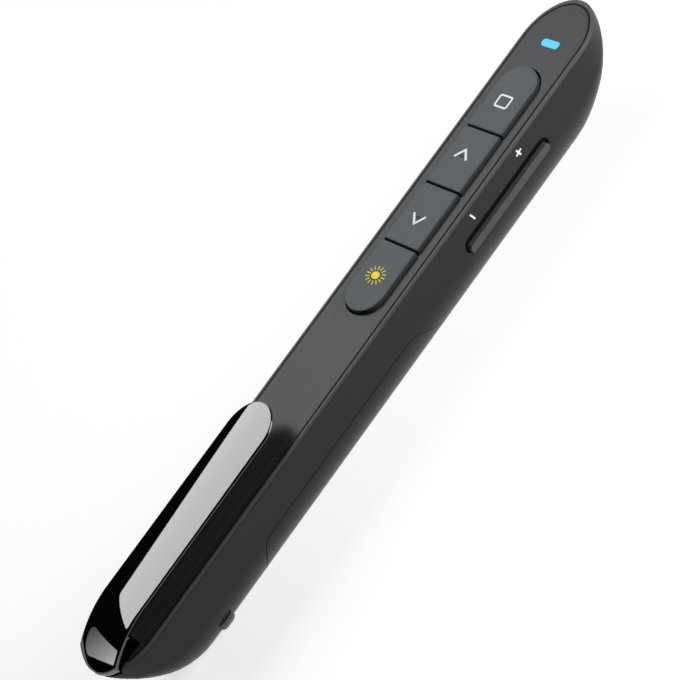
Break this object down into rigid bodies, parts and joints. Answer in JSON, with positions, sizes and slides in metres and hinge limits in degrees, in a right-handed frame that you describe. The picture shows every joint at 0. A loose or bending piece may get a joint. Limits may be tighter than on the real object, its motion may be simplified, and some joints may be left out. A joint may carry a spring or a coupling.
{
  "type": "wireless presenter",
  "caption": "Slim hand-held slide clicker: a brushed top panel with a row of keys, a side rocker, a gloss pen clip, a laser in the nose and a battery hatch.",
  "frame": {"origin": "below the middle of the body, in the plane that the power knob touches", "axes": "+X along the body towards the laser's nose, +Z towards the keys, -Y towards the volume rocker"},
  "size_m": [0.1579, 0.0171, 0.0222],
  "materials": {
    "shell_black": "fine matt texture",
    "brushed_panel": "dark anodised, brushed along its length",
    "key_slate": "satin",
    "gloss_black": "high gloss",
    "rocker_grey": "satin",
    "light_cyan": "clear, lit from below",
    "board_green": "solder mask",
    "steel": "plain sheet",
    "brass": "turned",
    "lens_glass": "clear",
    "chip_black": "moulded",
    "frame_grey": "moulded",
    "cell_wrap": "printed film",
    "magnet_nickel": "plated",
    "lead_red": "insulated wire",
    "lead_dark": "insulated wire",
    "led_white": "moulded"
  },
  "bodies": {
    "handle": {"battery_cell": "cell_wrap", "battery_spring": "steel", "board_screw_front": "steel", "board_screw_rear": "steel", "body_shell": "shell_black", "circuit_board": "board_green", "clip_pin": "steel", "contact_front": "steel", "contact_rear": "steel", "crystal_can": "steel", "frame_screw": "steel", "indicator_window": "light_cyan", "inner_frame": "frame_grey", "laser_barrel": "brass", "laser_bezel": "steel", "laser_diode_board": "board_green", "laser_lens": "lens_glass", "lead_negative": "lead_dark", "lead_positive": "lead_red", "led_board": "board_green", "power_board": "board_green", "power_switch": "steel", "radio_chip": "chip_black", "receiver_magnet": "magnet_nickel", "status_led": "led_white", "switch_blank_screen": "steel", "switch_laser": "steel", "switch_page_down": "steel", "switch_page_up": "steel", "switch_volume_down": "steel", "switch_volume_up": "steel", "top_panel": "brushed_panel"},
    "laser_key": {"key_laser": "key_slate", "plunger_laser": "chip_black"},
    "page_down_key": {"key_page_down": "key_slate", "plunger_page_down": "chip_black"},
    "page_up_key": {"key_page_up": "key_slate", "plunger_page_up": "chip_black"},
    "blank_screen_key": {"key_blank_screen": "key_slate", "plunger_blank_screen": "chip_black"},
    "rocker": {"volume_rocker": "rocker_grey"},
    "knob": {"power_knob": "shell_black"},
    "cover": {"battery_cover": "shell_black"},
    "clip": {"pen_clip": "gloss_black"},
    "receiver": {"receiver_grip": "shell_black", "receiver_plug": "steel", "receiver_tongue": "chip_black"}
  },
  "joints": [
    {"name": "laser_key_press", "type": "slide", "parent": "handle", "child": "laser_key", "axis": [0, 0, -1], "range_m": [0, 0.00045], "stiffness_N_per_m": 1500, "springref_m": -0.0002},
    {"name": "page_down_key_press", "type": "slide", "parent": "handle", "child": "page_down_key", "axis": [0, 0, -1], "range_m": [0, 0.00045], "stiffness_N_per_m": 1500, "springref_m": -0.0002},
    {"name": "page_up_key_press", "type": "slide", "parent": "handle", "child": "page_up_key", "axis": [0, 0, -1], "range_m": [0, 0.00045], "stiffness_N_per_m": 1500, "springref_m": -0.0002},
    {"name": "blank_screen_key_press", "type": "slide", "parent": "handle", "child": "blank_screen_key", "axis": [0, 0, -1], "range_m": [0, 0.00045], "stiffness_N_per_m": 1500, "springref_m": -0.0002},
    {"name": "rocker_tilt", "type": "hinge", "parent": "handle", "child": "rocker", "pos_m": [0.0385, -0.00525, 0.01073], "axis": [0, 0, 1], "range_deg": [-1.3, 1.3], "stiffness_Nm_per_rad": 0.3},
    {"name": "knob_slide", "type": "slide", "parent": "handle", "child": "knob", "axis": [1, 0, 0], "range_m": [0, 0.002]},
    {"name": "cover_lift", "type": "slide", "parent": "handle", "child": "cover", "axis": [0, 0, -1], "range_m": [0, 0.02]},
    {"name": "receiver_pull", "type": "slide", "parent": "handle", "child": "receiver", "axis": [-1, 0, 0], "range_m": [0, 0.0215]},
    {"name": "clip_open", "type": "hinge", "parent": "handle", "child": "clip", "pos_m": [-0.0736, 0, 0.0151], "axis": [0, -1, 0], "range_deg": [0, 4], "stiffness_Nm_per_rad": 1, "springref_deg": -1.15}
  ]
}
